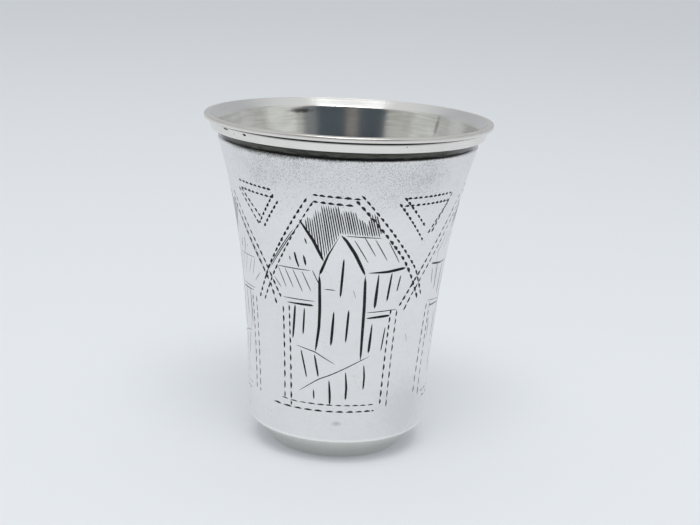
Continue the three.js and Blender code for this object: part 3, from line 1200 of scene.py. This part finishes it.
# %% [markdown]
# The bowl is a clearer mirror still, broken by fine streaks that run round the cup and by two old
# stains near the mouth. On the flare above it the streaks run upright, and the flare is painted darker
# than the bowl, as painted shade that tones down the bright ceiling it mirrors.

# %% Mirror of the bowl
FLARE_PAINTED_DARKER = (0.79, 0.79, 0.78, 1)
BOWL = (0.89, 0.88, 0.85, 1)
BOWL_DULL = (0.68, 0.67, 0.63, 1)
BOWL_ROUGHNESS = 0.1
FLARE_FROM = (MOUTH[1] - 0.5, MOUTH[1] + 0.7)
BOWL_STAINS = [
    ({"Angle": -155.5, "Height": 48.45, "Wide": 6.5, "Tall": 0.45}, 0.9),
    ({"Angle": 132.5, "Height": 47.6, "Wide": 1.2, "Tall": 1.6}, 0.5),
]


def make_bowl():
    tree, shader, where = shader_of("silver_inside", 1.0)
    streaks = place_group(tree, brushed, Round=5.0, Fine=2.5)["Streaks"]
    upright = place_group(tree, brushed, Round=32.0, Fine=0.3)["Streaks"]
    flare = ramp(tree, where["Height"], *FLARE_FROM)
    colour = polished_colour(tree, where, streaks, BOWL, BOWL_DULL)
    # The flare gets a darker colour than the bowl: painted shade.
    colour = with_dark_patches(tree, mixed(tree, flare, colour, FLARE_PAINTED_DARKER), BOWL_STAINS)
    roughness = scaled(tree, streaks, 0.14, BOWL_ROUGHNESS)
    upright = times(tree, upright, scaled(tree, flare, 2.4, 0.3))
    level = times(tree, streaks, scaled(tree, flare, -0.4, 0.4))
    dress(tree, shader, colour, roughness, plus(tree, level, upright), 0.006)


make_bowl()
print("roughness of the bowl:", BOWL_ROUGHNESS)

# %% [markdown]
# The groove under the band holds black sulphide, and its black is deepened as painted shade and dark
# reflection under the overhanging band. It is darkest at the bottom of the groove and paler upwards in
# yellowish grey streaks, partly painted sheen, most of all on the right. Towards both sides of the cup
# it fades to plain silver, so the painted shade lies in front.

# %% Tarnish and painted shade in the neck
TARNISH_AND_SHADE = (0.012, 0.012, 0.012, 1)
TARNISH_THIN_AND_SHEEN = (0.1, 0.1, 0.085, 1)
TARNISH_PALE_RIGHT = (0.24, 0.25, 0.27, 1)
TARNISH_BARE = (0.8, 0.8, 0.79, 1)
TARNISH_HEIGHTS = (GROOVE[1] + 0.1, GROOVE[1] + 0.4)
PALER_RIGHTWARD = (40, 75)
BARE_ASIDE = (62, 82)


def make_tarnish_and_shade():
    tree, shader, where = shader_of("neck_tarnish_and_shade", 0.75)
    streaks = place_group(tree, brushed, Round=9.0, Fine=3.5)["Streaks"]
    # Darkest at the bottom of the groove as painted shade; the paler streaks upwards are partly painted
    # sheen.
    upward = ramp(tree, where["Height"], *TARNISH_HEIGHTS, 0.0, 0.25)
    paler = plus(tree, streaks, upward)
    colour = mixed(tree, ramp(tree, paler, 0.48, 0.8), TARNISH_AND_SHADE, TARNISH_THIN_AND_SHEEN)
    right = ramp(tree, where["Angle"], *PALER_RIGHTWARD)
    paler_right = times(tree, right, ramp(tree, paler, 0.4, 0.7))
    colour = mixed(tree, paler_right, colour, TARNISH_PALE_RIGHT)
    # Towards the sides the black fades to plain silver, so its painted shade lies in front only.
    from_back = minus(tree, 180.0, where["Aside"])
    round_side = calculate(tree, "MINIMUM", where["Aside"], from_back)
    colour = mixed(tree, ramp(tree, round_side, *BARE_ASIDE), colour, TARNISH_BARE)
    dress(tree, shader, colour, scaled(tree, streaks, 0.3, 0.3), streaks, 0.01)


make_tarnish_and_shade()
print("tarnish:", len(finishes["neck_tarnish_and_shade"].node_tree.nodes), "nodes")

# %% [markdown]
# The same black fills the engraved lines. It is dull, with a grey crumb where some has fallen out,
# and paler grey towards both sides of the cup.

# %% Black in the engraving
BLACK = (0.012, 0.012, 0.015, 1)
BLACK_RUBBED = (0.09, 0.09, 0.1, 1)
BLACK_PALE_ASIDE = (0.36, 0.37, 0.4, 1)
PALE_FROM_SIDE = (45, 18)


def make_black():
    tree, shader, where = shader_of("graver_black", 0.2)
    crumb = noise(tree, where["Place"], 3.5, 3.0)
    colour = mixed(tree, ramp(tree, crumb, 0.5, 0.75), BLACK, BLACK_RUBBED)
    from_side = calculate(tree, "ABSOLUTE", minus(tree, where["Aside"], 90.0))
    toward_side = ramp(tree, from_side, *PALE_FROM_SIDE)
    patchy = ramp(tree, noise(tree, where["Place"], 0.5, 2.0), 0.3, 0.6, 0.5, 1.0)
    colour = mixed(tree, times(tree, toward_side, patchy), colour, BLACK_PALE_ASIDE)
    dress(tree, shader, colour, scaled(tree, crumb, 0.3, 0.45), crumb, 0.01)


make_black()
for name in FINISHES:
    print(name, "has", len(finishes[name].node_tree.nodes), "nodes")

# %% [markdown]
# Silver shows what stands round it, so the studio is part of its finish. The cup stands on a pale
# light table, which glows a little from below and keeps the shadow under the foot soft. Dark, grey
# and pale cards stand behind the camera: they give the bowl the dark middle that tells the eye it is
# a mirror. A soft light hangs above the camera, and a weak one over the mouth shines back from the
# flare of the rim.

# %% Studio
FLOOR_SIZE = 6
MATT = 0.9
TABLE_COLOUR = (0.73, 0.76, 0.8, 1)
TABLE_GLOW = (0.125, 0.13, 0.139, 1)
CARD_DISTANCE = 0.45
CARD_LOW = 0.13
CARD_HIGH = 0.6
DARK_CARD = (0.045, 0.065, 0.085, 1)
GREY_CARD = (0.19, 0.2, 0.21, 1)
WARM_GREY_CARD = (0.24, 0.22, 0.205, 1)
PALE_CARD = (0.8, 0.81, 0.78, 1)
DIM_CARD = (0.76, 0.77, 0.75, 1)
CARDS = [
    ("card_far_left", -94, -66, DIM_CARD),
    ("card_left", -37.5, -9, DARK_CARD),
    ("card_middle", -9, 3, WARM_GREY_CARD),
    ("card_right", 3, 33, DARK_CARD),
    ("card_far_right", 33, 47, GREY_CARD),
    ("card_side", 55, 88, PALE_CARD),
]
LIGHT_TINT = (1.0, 0.99, 0.97)
LIGHTS = [
    ("light_above", (0, 0.13, 0.9), (0.46, 0.3), 0.29, HEIGHT),
    ("light_front", (0, -0.305, 0.685), (0.45, 0.35), 1.95, 0),
]

print("cards fill", sum(last - first for _, first, last, _ in CARDS), "degrees")

# %% [markdown]
# The cards are seen in the silver only: the camera, plain surfaces and shadows pass them over.

# %% Build the studio
def plain_material(name, colour, glow=(0, 0, 0, 1)):
    material = bpy.data.materials.new(name)
    material.use_nodes = True
    shader = material.node_tree.nodes["Principled BSDF"]
    fill(material.node_tree, shader, {"Base Color": colour, "Roughness": MATT})
    fill(material.node_tree, shader, {"Emission Color": glow, "Emission Strength": 1})
    return material


def flat_sheet(name, width, depth, place, turn=(0, 0, 0)):
    deselect_all()
    bpy.ops.mesh.primitive_plane_add(size=1, location=place, rotation=turn)
    sheet = bpy.context.object
    sheet.name = name
    sheet.scale = (width, depth, 1)
    bpy.ops.object.transform_apply(location=True, rotation=True, scale=True)
    return sheet


def standing_card(name, first, last, colour):
    """An upright card that fills the angles from first to last, seen from the cup."""
    middle = math.radians((first + last) / 2)
    width = 2 * CARD_DISTANCE * math.tan(math.radians(last - first) / 2)
    x, y = CARD_DISTANCE * math.sin(middle), -CARD_DISTANCE * math.cos(middle)
    place = (x, y, (CARD_LOW + CARD_HIGH) / 2)
    card = flat_sheet(name, width, CARD_HIGH - CARD_LOW, place, (math.pi / 2, 0, middle))
    card.data.materials.append(plain_material(name, colour))
    card.visible_camera = False
    card.visible_diffuse = False
    card.visible_shadow = False


def soft_light(name, place, size, power, aim_height):
    data = bpy.data.lights.new(name, "AREA")
    data.shape = "RECTANGLE"
    data.size, data.size_y = size
    data.energy = power
    data.color = LIGHT_TINT
    light = bpy.data.objects.new(name, data)
    light.location = place
    aim = Vector((0, 0, aim_height * MM)) - Vector(place)
    light.rotation_euler = aim.to_track_quat("-Z", "Y").to_euler()
    bpy.context.scene.collection.objects.link(light)


floor = flat_sheet("floor", FLOOR_SIZE, FLOOR_SIZE, (0, 0, 0))
floor.data.materials.append(plain_material("light_table", TABLE_COLOUR, TABLE_GLOW))
for card in CARDS:
    standing_card(*card)
for light in LIGHTS:
    soft_light(*light)
print("the studio has", len(CARDS), "cards and", len(LIGHTS), "lights")

# %% [markdown]
# Between and beyond the cards the silver shows the room, which is the world's colour: grey walls,
# paler on the far side, and a light ceiling.

# %% Room
WALLS = (0.44, 0.445, 0.435, 1)
FAR_WALL = (0.5, 0.515, 0.53, 1)
CEILING = (0.72, 0.73, 0.73, 1)


def room():
    """A world that is the colour of the walls, paler on the far side, and of the ceiling high up."""
    world = bpy.data.worlds.new("room")
    world.use_nodes = True
    tree = world.node_tree
    split = new_node(tree, "ShaderNodeSeparateXYZ")
    feed(tree, split.inputs[0], new_node(tree, "ShaderNodeTexCoord").outputs["Generated"])
    colour = mixed(tree, ramp(tree, split.outputs["Y"], -0.1, 0.5), WALLS, FAR_WALL)
    colour = mixed(tree, ramp(tree, split.outputs["Z"], 0.6, 0.9), colour, CEILING)
    feed(tree, tree.nodes["Background"].inputs["Color"], colour)
    return world


bpy.context.scene.world = room()
print("the room's walls, far wall and ceiling:", WALLS[:3], FAR_WALL[:3], CEILING[:3])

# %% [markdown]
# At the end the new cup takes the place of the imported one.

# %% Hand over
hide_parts("cup")
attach(cup, "root")
